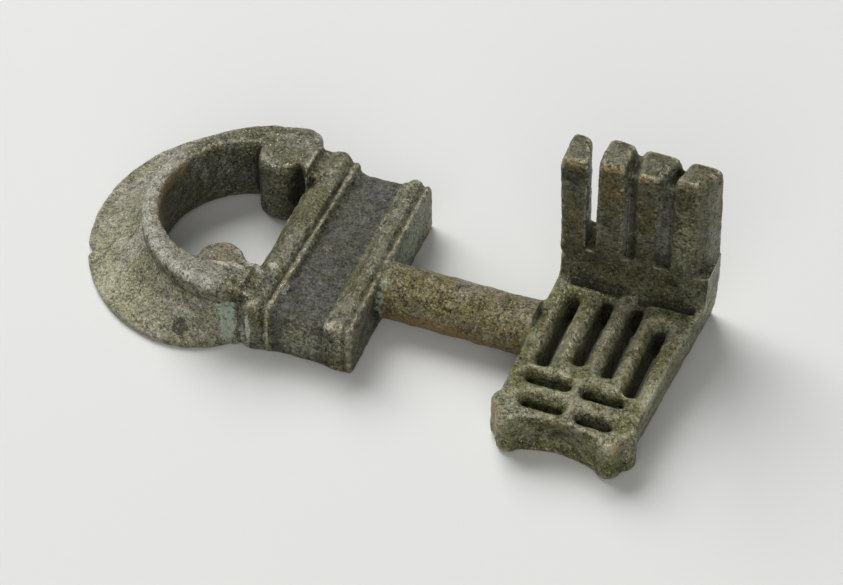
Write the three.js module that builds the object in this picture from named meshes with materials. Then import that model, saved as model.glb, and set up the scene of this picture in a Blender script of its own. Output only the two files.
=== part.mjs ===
// A cast bronze lift key lying on its back. From left to right it has a pierced bow with a flared
// skirt, a collar with two sets of mouldings, a round shank, and a slotted bit plate that carries
// four upright teeth on a bar.
// Millimetres. +X runs from the bow to the bit, +Z is up from the face that the key rests on, and
// the origin is at the middle of the collar's underside.

import * as THREE from "three";

// Driving dimensions.

const collar = {
  length: 13.6, // along X, from the bow to the shank
  width: 25.7, // over the flats of the mouldings
  height: 6.3, // to the flats of the mouldings
  panelSink: 0.25, // the middle panel lies this far under the flats
  rearLength: 5.2, // the mouldings on the bow side, at the middle of the collar
  rearSkew: 0.6, // they end this much nearer the shank at the +Y side, and less so at the other
  frontLength: 3.55, // the mouldings on the shank side
  cornerRadius: 0.8, // along the two long upper edges
  footBevel: 0.3, // along the two long lower edges
  sideRelief: 0.5, // the beads stand this share of their rise out at the sides
};

// Each bead is a half-round rib that runs over the top and down both sides.
const rearBeads = [
  { centre: 1.9, width: 2.9, rise: 0.9 },
  { centre: 3.85, width: 0.9, rise: 0.55 },
];
const frontBeads = [
  { centre: 0.4, width: 0.5, rise: 0.2 },
  { centre: 1.65, width: 1.9, rise: 0.65 },
  { centre: 3.05, width: 0.7, rise: 0.35 },
];

const bow = {
  sideways: 0.6, // the bow's middle stands this far to +Y of the collar's
  height: 8.7,
  rimRadius: 14.2,
  rimSetback: 2.1, // centre of the rim's circle, behind the collar
  overhang: 0.7, // how far the rim's rounded lip stands out over the wall under it
  lipDepth: 2.7, // height of that lip
  lipRound: 0.9, // rounding of the rim's upper outer edge
  openingRound: 0.6, // rounding of the opening's upper edge
  openingBevel: 0.5, // bevel of the opening's lower edge
  openingInset: 4.2, // the opening's radius is this much less than the rim's
  openingSetback: 4.3,
  cuspRadius: 2.75, // the two round cusps that stand into the opening
  cuspSetback: 3.8,
  cuspInset: 5, // their centres lie this much nearer the bow's middle than the rim's radius
  throatInset: 6.4, // the opening's edge where it meets the collar, measured the same way
  throatRound: 1.2, // rounding of its two corners there
  lipSwell: 0.6, // how much of the overhang the lip gains in its lower half
  neckInset: 2.2, // the outside of the two necks that meet the collar, measured the same way
  earRadius: 2.2, // the rim's rounded ends beside the collar
  earSetback: 2.6,
};

// The skirt's outer edge is an ellipse, set a little behind and beside the rim's circle.
const skirt = {
  reachBack: 2.4, // its half axis along X is this much more than the rim's radius
  reachAside: 4.05, // and its half axis along Y this much more
  setback: 6.9,
  sideways: 1.45,
  edge: 1, // thickness of its outer edge
  edgeRound: 0.25, // rounding of that edge, as a share of its thickness
  clearance: 0.3, // between its top and the lip over it, and between its ends and the collar
  hollow: 1.7, // above 1 the flare is hollow, 1 would be a straight slope
  endRound: 1.7, // how far its outline draws in at its two ends
  endLength: 7, // over this much of the rim's wall
};

const shank = {
  length: 18,
  radius: 3.45, // across Y
  flattening: 0.93, // its height over its width
  sideways: -1.9, // its axis stands this far to -Y of the collar's middle
  flare: 0.2, // how much it widens against the plate
  flareLength: 2.2,
  waver: 0.12, // how much its width wanders along its length
  lift: 0.05, // it hangs this far clear of the resting face
};

const plate = {
  thickness: 5.6,
  rearWidth: 17.3, // along X, at the teeth
  frontWidth: 15.65,
  rear: 12.9, // its two ends, measured along Y from the shank's axis
  front: -15.2,
  frontHollow: 0.9, // the front face is hollow between its corners
  edgeRadius: 0.4,
  footRadius: 0.2,
  undercut: 0.6, // how far its right side draws in at the foot
};

// A corner piece is two round knobs, one to the front and one to the side, with a groove between.
const corner = {
  seatWidth: 1.5, // the notch in the plate that it fills
  seatLength: 3.9,
  frontKnob: { x: 2, y: 0.6, radius: 1.5 }, // from the plate's front corner
  sideKnob: { x: 1, y: 2.3, radius: 1.6 },
  crown: 0.8, // rounding of the top
  footBevel: 0.4,
};

// Slots and teeth are laid out on a plate of these widths. On another they spread or close up.
const layout = { rearWidth: 17.3, frontWidth: 15.65 };
const slotWidth = 1.4;
const longSlots = [
  { x: 2.9, from: -6.4, to: 5.3 },
  { x: 6.65, from: -5, to: 6.2 },
  { x: 10.15, from: -5.7, to: 6.4 },
  { x: 13.55, from: -7.6, to: 3.8 },
];
const shortSlotWidth = 1.4;
const shortSlots = [
  { y: -8.6, from: 2, to: 7.1 },
  { y: -8.85, from: 8.5, to: 13.5 },
  { y: -12.2, from: 2.6, to: 7.5 },
  { y: -12.65, from: 9.1, to: 13.4 },
];

const bar = {
  height: 4, // above the plate
  foot: 7, // its front edge on the plate, measured along Y from the shank's axis
  lean: 1.2, // how far its hollow front leans back
  setIn: 0.1, // its right end stands this far inside the plate's rear width
};

// Each tooth's left and right edges along X, at its front and at its back, its height above the
// bar at its front and at its back, how far its two sides lean to the right at the top, and how
// far its crown falls away to its left and right edges.
const teeth = [
  { front: [0, 2.9], back: [0, 1.9], height: [12.95, 13], lean: [-0.5, 0], fall: [1.1, 0.3] },
  { front: [4.5, 7.2], back: [3.6, 7.2], height: [13.4, 13.6], lean: [0, 0], fall: [0.3, 0.5] },
  { front: [8.6, 10.6], back: [8, 11.9], height: [13.2, 13.3], lean: [-0.5, 0.8], fall: [0.5, 0.6] },
  { front: [12.6, 15.6], back: [13, 17], height: [14, 13.2], lean: [0, 0], fall: [0.7, 0.8] },
];
const toothDepth = 4.7;
const toothTaper = 0.1;
const toothCrown = 0.8;
const toothRound = 0.4; // how far the crown draws in at the very top
const toothCorner = 0.6;

// How many flats make up each curve.
const flats = {
  ear: 6,
  rim: 56,
  rimRound: 3,
  opening: 18,
  cusp: 12,
  throat: 5,
  flare: 6,
  collarEdge: 4,
  bead: 8,
  shankLength: 14,
  shankRound: 32,
  slotEnd: 5,
  frontHollow: 10,
  knob: 10,
  knobCrown: 3,
  barHollow: 6,
  toothCorner: 3,
  toothCrown: 4,
};
const sameStation = 0.001; // stations closer than this along the collar are one

// Where the sub-parts meet.

const collarRear = -collar.length / 2;
const collarFront = collar.length / 2;
const panelLength = collar.length - collar.rearLength - collar.frontLength;
const shankHeight = (shank.radius + shank.flare) * shank.flattening + shank.lift;
const plateLeft = collarFront + shank.length;

// Shape helpers.

// A closed solid from a list of points and triangles, turned to face outwards.
function closedSolid(points, triangles) {
  const a = new THREE.Vector3();
  let volume = 0;
  for (const [i, j, k] of triangles) {
    volume += a.crossVectors(points[i], points[j]).dot(points[k]);
  }
  const outward = volume > 0 ? triangles : triangles.map(([i, j, k]) => [i, k, j]);
  const geometry = new THREE.BufferGeometry().setFromPoints(points);
  geometry.setIndex(outward.flat());
  geometry.computeVertexNormals();
  return geometry;
}

// Triangles of the band between two rings of the same length.
function band(triangles, lower, upper, count) {
  for (let i = 0; i < count; i += 1) {
    const next = (i + 1) % count;
    triangles.push([lower + i, lower + next, upper + next]);
    triangles.push([lower + i, upper + next, upper + i]);
  }
}

// Triangles that fill flat loops, turned the same way round as the outer loop.
function filled(loops) {
  const faces = THREE.ShapeUtils.triangulateShape(loops[0], loops.slice(1));
  return THREE.ShapeUtils.isClockWise(loops[0]) ? faces.map(([i, j, k]) => [i, k, j]) : faces;
}

// Joins plane rings of points into one solid. flatten gives a point's place in its ring's plane.
function loft(rings, flatten) {
  const count = rings[0].length;
  const triangles = [];
  for (let r = 0; r < rings.length - 1; r += 1) {
    band(triangles, r * count, (r + 1) * count, count);
  }
  const last = (rings.length - 1) * count;
  for (const [i, j, k] of filled([rings[0].map((p) => flatten(p, rings[0]))])) {
    triangles.push([i, k, j]);
  }
  for (const [i, j, k] of filled([rings.at(-1).map((p) => flatten(p, rings.at(-1)))])) {
    triangles.push([last + i, last + j, last + k]);
  }
  return closedSolid(rings.flat(), triangles);
}

// Stacks plan outlines on top of each other. loopsAt(level) gives the outer loop and then any
// holes, with the same number of points at every level.
function stack(levels, loopsAt) {
  const points = [];
  const triangles = [];
  const starts = [];
  let loops = [];
  for (const level of levels) {
    loops = loopsAt(level);
    starts.push(loops.map((loop) => {
      const start = points.length;
      points.push(...loop.map((p) => new THREE.Vector3(p.x, p.y, level.z)));
      return start;
    }));
  }
  for (let r = 0; r < levels.length - 1; r += 1) {
    loops.forEach((loop, i) => band(triangles, starts[r][i], starts[r + 1][i], loop.length));
  }
  for (const r of [0, levels.length - 1]) {
    const flat = loopsAt(levels[r]);
    const index = flat.flatMap((loop, i) => loop.map((_, n) => starts[r][i] + n));
    for (const [i, j, k] of filled(flat)) {
      triangles.push(r === 0 ? [index[i], index[k], index[j]] : [index[i], index[j], index[k]]);
    }
  }
  return closedSolid(points, triangles);
}

// Points of an arc from one angle to another, both ends included.
function arc(centre, radius, from, to, steps) {
  const points = [];
  for (let i = 0; i <= steps; i += 1) {
    const angle = from + ((to - from) * i) / steps;
    points.push(new THREE.Vector2(
      centre.x + radius * Math.cos(angle),
      centre.y + radius * Math.sin(angle),
    ));
  }
  return points;
}

// Where two circles cross, on the left (+1) or the right (-1) of the line between their centres.
function crossing(first, firstRadius, second, secondRadius, side) {
  const line = new THREE.Vector2().subVectors(second, first);
  const distance = line.length();
  const along = (distance ** 2 + firstRadius ** 2 - secondRadius ** 2) / (2 * distance);
  const aside = side * Math.sqrt(firstRadius ** 2 - along ** 2);
  line.normalize();
  return new THREE.Vector2(
    first.x + line.x * along - line.y * aside,
    first.y + line.y * along + line.x * aside,
  );
}

const angleFrom = (centre, point) => Math.atan2(point.y - centre.y, point.x - centre.x);
const turnFrom = (centre, point) => (angleFrom(centre, point) + 2 * Math.PI) % (2 * Math.PI);
const mirrored = (points) => points.map((p) => new THREE.Vector2(p.x, -p.y)).reverse();

// Bow, seen from above, with the collar's rear face at x = 0 and its middle at y = 0.

const openingEdge = bow.rimRadius - bow.openingInset;
const throatEdge = bow.rimRadius - bow.throatInset;
const neckEdge = bow.rimRadius - bow.neckInset;
const rimCentre = new THREE.Vector2(-bow.rimSetback, 0);
const openingCentre = new THREE.Vector2(-bow.openingSetback, 0);
const cuspCentre = new THREE.Vector2(-bow.cuspSetback, bow.rimRadius - bow.cuspInset);
const earReach = bow.rimRadius - bow.earRadius;
const earCentre = new THREE.Vector2(
  -bow.earSetback,
  Math.sqrt(earReach ** 2 - (bow.rimSetback - bow.earSetback) ** 2),
);
const earAngle = angleFrom(rimCentre, earCentre);
const rimAngle = (step) => earAngle + ((2 * Math.PI - 2 * earAngle) * step) / flats.rim;

// The point of the rim's circle at one of its stations, drawn in by an inset.
function rimPoint(step, inset) {
  const angle = rimAngle(step);
  const radius = bow.rimRadius - inset;
  return new THREE.Vector2(
    rimCentre.x + radius * Math.cos(angle),
    rimCentre.y + radius * Math.sin(angle),
  );
}

// The ear on the +Y side, from its neck at the collar's face to the rim's circle.
function earOutline(inset) {
  const radius = bow.earRadius - inset;
  const neck = neckEdge - inset;
  const start = Math.asin(Math.max(-1, (neck - earCentre.y) / radius));
  const round = arc(earCentre, radius, start, earAngle, flats.ear);
  return [new THREE.Vector2(0, neck), ...round.slice(0, -1)];
}

// The opening's edge on the +Y side, from its far left end to the collar's face.
function openingOutline(outset) {
  const openingRadius = openingEdge + outset;
  const cuspRadius = bow.cuspRadius - outset;
  const throat = throatEdge + outset;
  const root = crossing(openingCentre, openingRadius, cuspCentre, cuspRadius, 1);
  const shoulder = new THREE.Vector2(
    cuspCentre.x + Math.sqrt(cuspRadius ** 2 - (cuspCentre.y - throat) ** 2),
    throat,
  );
  const round = arc(
    openingCentre, openingRadius, Math.PI, turnFrom(openingCentre, root), flats.opening,
  );
  const cusp = arc(
    cuspCentre, cuspRadius, turnFrom(cuspCentre, root), turnFrom(cuspCentre, shoulder), flats.cusp,
  );
  const turn = new THREE.Vector2(-bow.throatRound, throat - bow.throatRound);
  return round.concat(cusp.slice(1), arc(turn, bow.throatRound, Math.PI / 2, 0, flats.throat));
}

// The whole plan of the rim, a horseshoe whose two ends stand on the collar's rear face.
function rimOutline({ outer, inner }) {
  const ear = earOutline(outer);
  const round = [];
  for (let step = 0; step <= flats.rim; step += 1) {
    round.push(rimPoint(step, outer));
  }
  const opening = openingOutline(inner);
  return [ear.concat(round, mirrored(ear), mirrored(opening).slice(0, -1), opening)];
}

function rimGeometry() {
  const wall = bow.overhang;
  const lipFrom = bow.height - bow.lipDepth;
  const lipRise = bow.overhang / 2;
  const levels = [
    { z: 0, outer: wall, inner: bow.openingBevel },
    { z: bow.openingBevel, outer: wall, inner: 0 },
    { z: lipFrom, outer: wall, inner: 0 },
    { z: lipFrom + lipRise, outer: wall * (1 - bow.lipSwell), inner: 0 },
    { z: lipFrom + 2 * lipRise, outer: 0, inner: 0 },
    { z: bow.height - bow.lipRound, outer: 0, inner: 0 },
  ];
  for (let i = 1; i <= flats.rimRound; i += 1) {
    const turn = (Math.PI / 2) * (i / flats.rimRound);
    levels.push({
      z: bow.height - bow.lipRound * (1 - Math.sin(turn)),
      outer: bow.lipRound * (1 - Math.cos(turn)),
      inner: bow.openingRound * (1 - Math.cos(turn)),
    });
  }
  return stack(levels, rimOutline);
}

// The foot of the rim's wall, from the end of one ear round to the end of the other.
function wallOutline() {
  const ear = earOutline(bow.overhang).filter((p) => p.y > earCentre.y);
  const round = [];
  for (let step = 0; step <= flats.rim; step += 1) {
    round.push(rimPoint(step, bow.overhang));
  }
  return [...ear, ...round, ...mirrored(ear)];
}

// The skirt leans against the rim's wall all round. Each section runs from the foot of that wall
// up to the lip, down the hollow flare to the thin edge, and back along the underside.
function skirtGeometry() {
  const centre = new THREE.Vector2(-skirt.setback, skirt.sideways);
  const top = bow.height - bow.lipDepth - skirt.clearance;
  const halfLength = bow.rimRadius + skirt.reachBack;
  const halfWidth = bow.rimRadius + skirt.reachAside;
  const endTurn = Math.acos((skirt.setback - skirt.clearance) / halfLength);
  const wall = wallOutline();
  const along = [0];
  for (let i = 1; i < wall.length; i += 1) {
    along.push(along[i - 1] + wall[i].distanceTo(wall[i - 1]));
  }
  const length = along.at(-1);
  const edgeRound = skirt.edge * skirt.edgeRound;
  const rings = wall.map((inside, i) => {
    const turn = THREE.MathUtils.lerp(endTurn, 2 * Math.PI - endTurn, along[i] / length);
    const outside = new THREE.Vector2(
      centre.x + halfLength * Math.cos(turn),
      centre.y + halfWidth * Math.sin(turn),
    );
    const fromEnd = Math.min(along[i], length - along[i], skirt.endLength) / skirt.endLength;
    const reach = outside.distanceTo(inside) - skirt.endRound * (1 - fromEnd) ** 2;
    const at = (across, z) => {
      const p = inside.clone().lerp(outside, across / outside.distanceTo(inside));
      return new THREE.Vector3(p.x, p.y, z);
    };
    const ring = [at(0, 0)];
    for (let k = 0; k <= flats.flare; k += 1) {
      const rise = (top - skirt.edge) * (1 - k / flats.flare) ** skirt.hollow;
      ring.push(at(((reach - edgeRound) * k) / flats.flare, skirt.edge + rise));
    }
    ring.push(at(reach, skirt.edge / 2), at(reach - edgeRound, 0));
    return ring;
  });
  const flatten = (p, ring) => new THREE.Vector2(Math.hypot(p.x - ring[0].x, p.y - ring[0].y), p.z);
  return loft(rings, flatten);
}

// Collar.

// The collar's cross-section, with the two long upper edges rounded. A skewed one stands that much
// further along at its +Y side and less far at the other.
function collarSection(x, relief, skew) {
  const half = collar.width / 2 + relief * collar.sideRelief;
  const top = collar.height + relief;
  const r = collar.cornerRadius;
  const quarter = Math.PI / 2;
  const right = arc(new THREE.Vector2(half - r, top - r), r, 0, quarter, flats.collarEdge);
  const left = arc(new THREE.Vector2(r - half, top - r), r, quarter, Math.PI, flats.collarEdge);
  const foot = collar.footBevel;
  const outline = [
    new THREE.Vector2(foot - half, 0),
    new THREE.Vector2(half - foot, 0),
    new THREE.Vector2(half, foot),
    ...right,
    ...left,
    new THREE.Vector2(-half, foot),
  ];
  const slope = skew / (collar.width / 2);
  return outline.map((p) => new THREE.Vector3(x + slope * p.x, p.x, p.y));
}

const sectionPlane = (p) => new THREE.Vector2(p.y, p.z);

// A length of the collar with its beads, from its own rear face at x = 0. The rear one slopes down
// to the panel at its end.
function mouldingGeometry(length, beads, endRelief, endSkew) {
  const stations = [{ x: 0, relief: 0 }];
  for (const bead of beads) {
    for (let i = 0; i <= flats.bead; i += 1) {
      const turn = (Math.PI * i) / flats.bead;
      stations.push({
        x: bead.centre - (bead.width / 2) * Math.cos(turn),
        relief: bead.rise * Math.sin(turn),
      });
    }
  }
  stations.push({ x: length, relief: endRelief });
  const kept = stations.filter((s, i) => i === 0 || s.x - stations[i - 1].x > sameStation);
  const rings = kept.map((s) => collarSection(s.x, s.relief, (endSkew * s.x) / length));
  return loft(rings, sectionPlane);
}

function panelGeometry() {
  const rings = [
    collarSection(0, -collar.panelSink, collar.rearSkew),
    collarSection(panelLength, -collar.panelSink, 0),
  ];
  return loft(rings, sectionPlane);
}

// Shank, turned about its own axis and then flattened a little.

function shankGeometry() {
  const profile = [new THREE.Vector2(0, 0)];
  for (let i = 0; i <= flats.shankLength; i += 1) {
    const along = (shank.length * i) / flats.shankLength;
    const near = Math.max(0, 1 - (shank.length - along) / shank.flareLength);
    const radius = shank.radius - shank.waver * Math.sin(i) ** 2 + shank.flare * near ** 2;
    profile.push(new THREE.Vector2(radius, along));
  }
  profile.push(new THREE.Vector2(0, shank.length));
  return new THREE.LatheGeometry(profile, flats.shankRound);
}

// Bit, with the plate's left edge at x = 0 and the shank's axis at y = 0.

// A slot with round ends, as a hole.
function slotOutline(x0, y0, x1, y1, width) {
  const ends = [new THREE.Vector2(x0, y0), new THREE.Vector2(x1, y1)];
  const heading = angleFrom(ends[0], ends[1]);
  const quarter = Math.PI / 2;
  const start = new THREE.Vector2().addScaledVector(
    new THREE.Vector2(Math.cos(heading), Math.sin(heading)),
    width / 2,
  );
  return [
    ...arc(
      ends[0].clone().add(start), width / 2, heading + quarter, heading + 3 * quarter, flats.slotEnd,
    ),
    ...arc(
      ends[1].clone().sub(start), width / 2, heading - quarter, heading + quarter, flats.slotEnd,
    ),
  ].reverse();
}

// How much wider the plate is, at a place along Y, than the one that the slots were laid out on.
function spreadAt(y) {
  const along = (y - plate.front) / (plate.rear - plate.front);
  const width = THREE.MathUtils.lerp(plate.frontWidth, plate.rearWidth, along);
  return width / THREE.MathUtils.lerp(layout.frontWidth, layout.rearWidth, along);
}

function plateOutlines({ z, inset }) {
  const under = plate.undercut * (1 - z / plate.thickness) ** 2;
  const slopeX = (plate.rearWidth - plate.frontWidth) / (plate.rear - plate.front);
  const rightAt = (y) => plate.frontWidth + slopeX * (y - plate.front) - inset - under;
  const seat = plate.front + corner.seatLength;
  const knobEnd = corner.frontKnob.x + Math.sqrt(
    corner.frontKnob.radius ** 2 - corner.frontKnob.y ** 2,
  );
  const half = plate.frontWidth / 2 - knobEnd;
  const hollowRadius = (half ** 2 + plate.frontHollow ** 2) / (2 * plate.frontHollow);
  const hollowCentre = new THREE.Vector2(
    plate.frontWidth / 2,
    plate.front + plate.frontHollow - hollowRadius,
  );
  const spread = Math.asin(half / hollowRadius);
  const hollow = arc(
    hollowCentre,
    hollowRadius + inset,
    Math.PI / 2 + spread,
    Math.PI / 2 - spread,
    flats.frontHollow,
  );
  const outer = [
    new THREE.Vector2(inset, seat),
    new THREE.Vector2(corner.seatWidth, seat),
    new THREE.Vector2(corner.seatWidth, plate.front),
    ...hollow,
    new THREE.Vector2(plate.frontWidth - corner.seatWidth, plate.front),
    new THREE.Vector2(plate.frontWidth - corner.seatWidth, seat),
    new THREE.Vector2(rightAt(seat), seat),
    new THREE.Vector2(rightAt(plate.rear), plate.rear - inset),
    new THREE.Vector2(inset, plate.rear - inset),
  ];
  const widen = inset / 2;
  const long = longSlots.map((s) => {
    const x = s.x * spreadAt((s.from + s.to) / 2);
    return slotOutline(x, s.from - widen, x, s.to + widen, slotWidth + 2 * widen);
  });
  const short = shortSlots.map((s) => {
    const [from, to] = [s.from, s.to].map((x) => x * spreadAt(s.y));
    return slotOutline(from - widen, s.y, to + widen, s.y, shortSlotWidth + 2 * widen);
  });
  return [outer, ...long, ...short];
}

function plateGeometry() {
  const r = plate.edgeRadius;
  const bevel = r * (1 - Math.SQRT1_2);
  const levels = [
    { z: 0, inset: plate.footRadius },
    { z: plate.footRadius, inset: 0 },
    { z: plate.thickness / 2, inset: 0 },
    { z: plate.thickness - r, inset: 0 },
    { z: plate.thickness - bevel, inset: bevel },
    { z: plate.thickness, inset: r },
  ];
  return stack(levels, plateOutlines);
}

// The left corner piece. It fills the notch at the plate's corner and swells out in two knobs.
function cornerOutline({ inset }) {
  const front = new THREE.Vector2(corner.frontKnob.x, plate.front + corner.frontKnob.y);
  const side = new THREE.Vector2(corner.sideKnob.x, plate.front + corner.sideKnob.y);
  const frontRadius = corner.frontKnob.radius - inset;
  const sideRadius = corner.sideKnob.radius - inset;
  const seat = plate.front + corner.seatLength;
  const groove = crossing(side, sideRadius, front, frontRadius, -1);
  const leave = new THREE.Vector2(
    inset,
    side.y + Math.sqrt(sideRadius ** 2 - (side.x - inset) ** 2),
  );
  const arrive = new THREE.Vector2(
    front.x + Math.sqrt(frontRadius ** 2 - corner.frontKnob.y ** 2),
    plate.front,
  );
  return [[
    new THREE.Vector2(corner.seatWidth, seat),
    new THREE.Vector2(inset, seat),
    ...arc(side, sideRadius, turnFrom(side, leave), turnFrom(side, groove), flats.knob),
    ...arc(
      front, frontRadius, turnFrom(front, groove), turnFrom(front, arrive), flats.knob,
    ).slice(1),
    new THREE.Vector2(corner.seatWidth, plate.front),
  ]];
}

function cornerGeometry() {
  const crown = corner.crown;
  const levels = [
    { z: 0, inset: corner.footBevel },
    { z: corner.footBevel, inset: 0 },
    { z: plate.thickness - crown, inset: 0 },
  ];
  for (let i = 1; i <= flats.knobCrown; i += 1) {
    const turn = (Math.PI / 3) * (i / flats.knobCrown);
    levels.push({
      z: plate.thickness - crown * (1 - i / flats.knobCrown),
      inset: crown * (1 - Math.cos(turn)),
    });
  }
  return stack(levels, cornerOutline);
}

// The bar across the plate's rear, with a hollow front that leans back to the teeth.
function barGeometry() {
  const length = plate.rearWidth - bar.setIn;
  const section = [];
  for (let i = 0; i <= flats.barHollow; i += 1) {
    const turn = (Math.PI / 2) * (i / flats.barHollow);
    section.push(new THREE.Vector2(
      bar.foot + bar.lean * Math.sin(turn),
      bar.height * (1 - Math.cos(turn)),
    ));
  }
  section.push(new THREE.Vector2(plate.rear, bar.height), new THREE.Vector2(plate.rear, 0));
  const rings = [0, length].map((x) => section.map((p) => new THREE.Vector3(x, p.x, p.y)));
  return loft(rings, sectionPlane);
}

// A tooth with its edges along X spread as the plate under it is.
function spreadTooth(tooth) {
  const spread = spreadAt(plate.rear);
  return {
    ...tooth,
    front: tooth.front.map((x) => x * spread),
    back: tooth.back.map((x) => x * spread),
  };
}

// A tooth's plan at one level: four rounded corners, drawn in towards the top.
function toothOutline(tooth, inset) {
  const front = bar.foot + bar.lean + inset;
  const back = front + toothDepth - 2 * inset;
  const corners = [
    [tooth.front[0] + inset, front],
    [tooth.front[1] - inset, front],
    [tooth.back[1] - inset, back],
    [tooth.back[0] + inset, back],
  ].map(([x, y]) => new THREE.Vector2(x, y));
  return corners.flatMap((at, i) => {
    const before = corners[(i + 3) % 4];
    const after = corners[(i + 1) % 4];
    const cut = Math.min(toothCorner, at.distanceTo(before) / 3, at.distanceTo(after) / 3);
    const from = at.clone().lerp(before, cut / at.distanceTo(before));
    const to = at.clone().lerp(after, cut / at.distanceTo(after));
    return new THREE.QuadraticBezierCurve(from, at, to).getPoints(flats.toothCorner);
  });
}

function toothGeometry(tooth) {
  const top = Math.max(...tooth.height);
  const levels = [{ z: 0, inset: 0 }];
  for (let i = 0; i <= flats.toothCrown; i += 1) {
    const turn = (Math.PI / 2) * (i / flats.toothCrown);
    levels.push({
      z: top - toothCrown * (1 - Math.sin(turn)),
      inset: toothTaper + toothRound * (1 - Math.cos(turn)),
    });
  }
  const geometry = stack(levels, ({ inset }) => [toothOutline(tooth, inset)]);
  const place = geometry.getAttribute("position");
  const front = bar.foot + bar.lean;
  for (let i = 0; i < place.count; i += 1) {
    const up = place.getZ(i) / top;
    const back = (place.getY(i) - front) / toothDepth;
    const left = THREE.MathUtils.lerp(tooth.front[0], tooth.back[0], back);
    const right = THREE.MathUtils.lerp(tooth.front[1], tooth.back[1], back);
    const across = (place.getX(i) - left) / (right - left);
    place.setX(i, place.getX(i) + up * THREE.MathUtils.lerp(...tooth.lean, across));
    const aside = 2 * across - 1;
    const fall = tooth.fall[aside < 0 ? 0 : 1] * aside ** 4;
    place.setZ(i, up * (THREE.MathUtils.lerp(...tooth.height, back) - fall));
  }
  return geometry;
}

// Finishes, all patinated bronze.

function bronze(color, roughness, metalness) {
  return new THREE.MeshStandardMaterial({ color, roughness, metalness });
}

const skirtBronze = () => bronze(0x77775f, 0.72, 0.45);
const rimBronze = () => bronze(0x7a7568, 0.6, 0.55);
const collarBronze = () => bronze(0x5f5c4a, 0.66, 0.5);
const panelBronze = () => bronze(0x4a4a48, 0.7, 0.5);
const shankBronze = () => bronze(0x6a6248, 0.55, 0.6);
const bitBronze = () => bronze(0x66664e, 0.68, 0.5);
const toothBronze = () => bronze(0x55543f, 0.64, 0.55);

function subPart(name, geometry, material, x = 0, y = 0, z = 0) {
  const mesh = new THREE.Mesh(geometry, material);
  mesh.name = name;
  mesh.position.set(x, y, z);
  return mesh;
}

// Assembly.

function makeBow() {
  const group = new THREE.Group();
  group.position.set(collarRear, bow.sideways, 0);
  group.add(subPart("bow_rim", rimGeometry(), rimBronze()));
  group.add(subPart("bow_skirt", skirtGeometry(), skirtBronze()));
  return group;
}

function makeCollar() {
  const group = new THREE.Group();
  group.position.x = collarRear;
  const rear = mouldingGeometry(
    collar.rearLength, rearBeads, -collar.panelSink, collar.rearSkew,
  );
  const front = mouldingGeometry(collar.frontLength, frontBeads, 0, 0);
  group.add(subPart("collar_rear_moulding", rear, collarBronze()));
  group.add(subPart("collar_panel", panelGeometry(), panelBronze(), collar.rearLength));
  group.add(subPart(
    "collar_front_moulding", front, collarBronze(), collar.length - collar.frontLength,
  ));
  return group;
}

function makeShank() {
  const mesh = subPart("shank", shankGeometry(), shankBronze());
  mesh.rotation.z = -Math.PI / 2;
  mesh.scale.z = shank.flattening;
  mesh.position.set(collarFront, shank.sideways, shankHeight);
  return mesh;
}

function makeBit() {
  const group = new THREE.Group();
  group.position.set(plateLeft, shank.sideways, 0);
  group.add(subPart("bit_plate", plateGeometry(), bitBronze()));
  const left = subPart("bit_corner_left", cornerGeometry(), bitBronze());
  const right = subPart("bit_corner_right", cornerGeometry(), bitBronze(), plate.frontWidth);
  right.scale.x = -1;
  group.add(left, right);
  group.add(subPart("tooth_bar", barGeometry(), bitBronze(), 0, 0, plate.thickness));
  const row = new THREE.Group();
  row.position.z = plate.thickness + bar.height;
  teeth.map(spreadTooth).forEach((tooth, i) => {
    row.add(subPart(`tooth_${i + 1}`, toothGeometry(tooth), toothBronze()));
  });
  group.add(row);
  return group;
}

const key = new THREE.Group();
key.add(makeBow(), makeCollar(), makeShank(), makeBit());

export default key;
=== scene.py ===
import math
import bpy
import bmesh
import numpy as np
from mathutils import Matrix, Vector
from mathutils.geometry import convex_hull_2d


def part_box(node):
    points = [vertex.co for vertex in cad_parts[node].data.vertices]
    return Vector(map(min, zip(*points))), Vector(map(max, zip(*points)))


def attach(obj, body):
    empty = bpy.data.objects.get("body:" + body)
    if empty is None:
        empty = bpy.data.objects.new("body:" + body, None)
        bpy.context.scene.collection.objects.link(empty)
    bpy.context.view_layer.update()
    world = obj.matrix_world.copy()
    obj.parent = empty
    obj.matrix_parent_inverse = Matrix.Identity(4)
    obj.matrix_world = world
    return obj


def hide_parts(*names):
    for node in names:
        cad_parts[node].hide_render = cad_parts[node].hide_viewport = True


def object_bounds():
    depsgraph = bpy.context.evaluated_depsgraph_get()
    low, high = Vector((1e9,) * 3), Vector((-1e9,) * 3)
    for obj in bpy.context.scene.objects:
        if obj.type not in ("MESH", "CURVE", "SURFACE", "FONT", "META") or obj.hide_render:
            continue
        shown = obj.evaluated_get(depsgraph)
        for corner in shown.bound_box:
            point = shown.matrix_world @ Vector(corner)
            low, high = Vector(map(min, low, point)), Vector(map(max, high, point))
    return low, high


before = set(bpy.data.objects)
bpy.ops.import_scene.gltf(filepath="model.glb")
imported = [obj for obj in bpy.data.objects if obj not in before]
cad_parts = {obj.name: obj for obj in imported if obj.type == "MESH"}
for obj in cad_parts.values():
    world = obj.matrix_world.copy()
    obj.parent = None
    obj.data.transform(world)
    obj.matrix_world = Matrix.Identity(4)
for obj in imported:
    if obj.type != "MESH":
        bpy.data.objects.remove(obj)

cadLow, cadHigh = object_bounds()
print("frame loaded,", len(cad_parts), "nodes")

mm = 0.001


def placeObject(name, data):
    obj = bpy.data.objects.new(name, data)
    bpy.context.scene.collection.objects.link(obj)
    return obj


# camera, at the angle the key was photographed from

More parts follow.
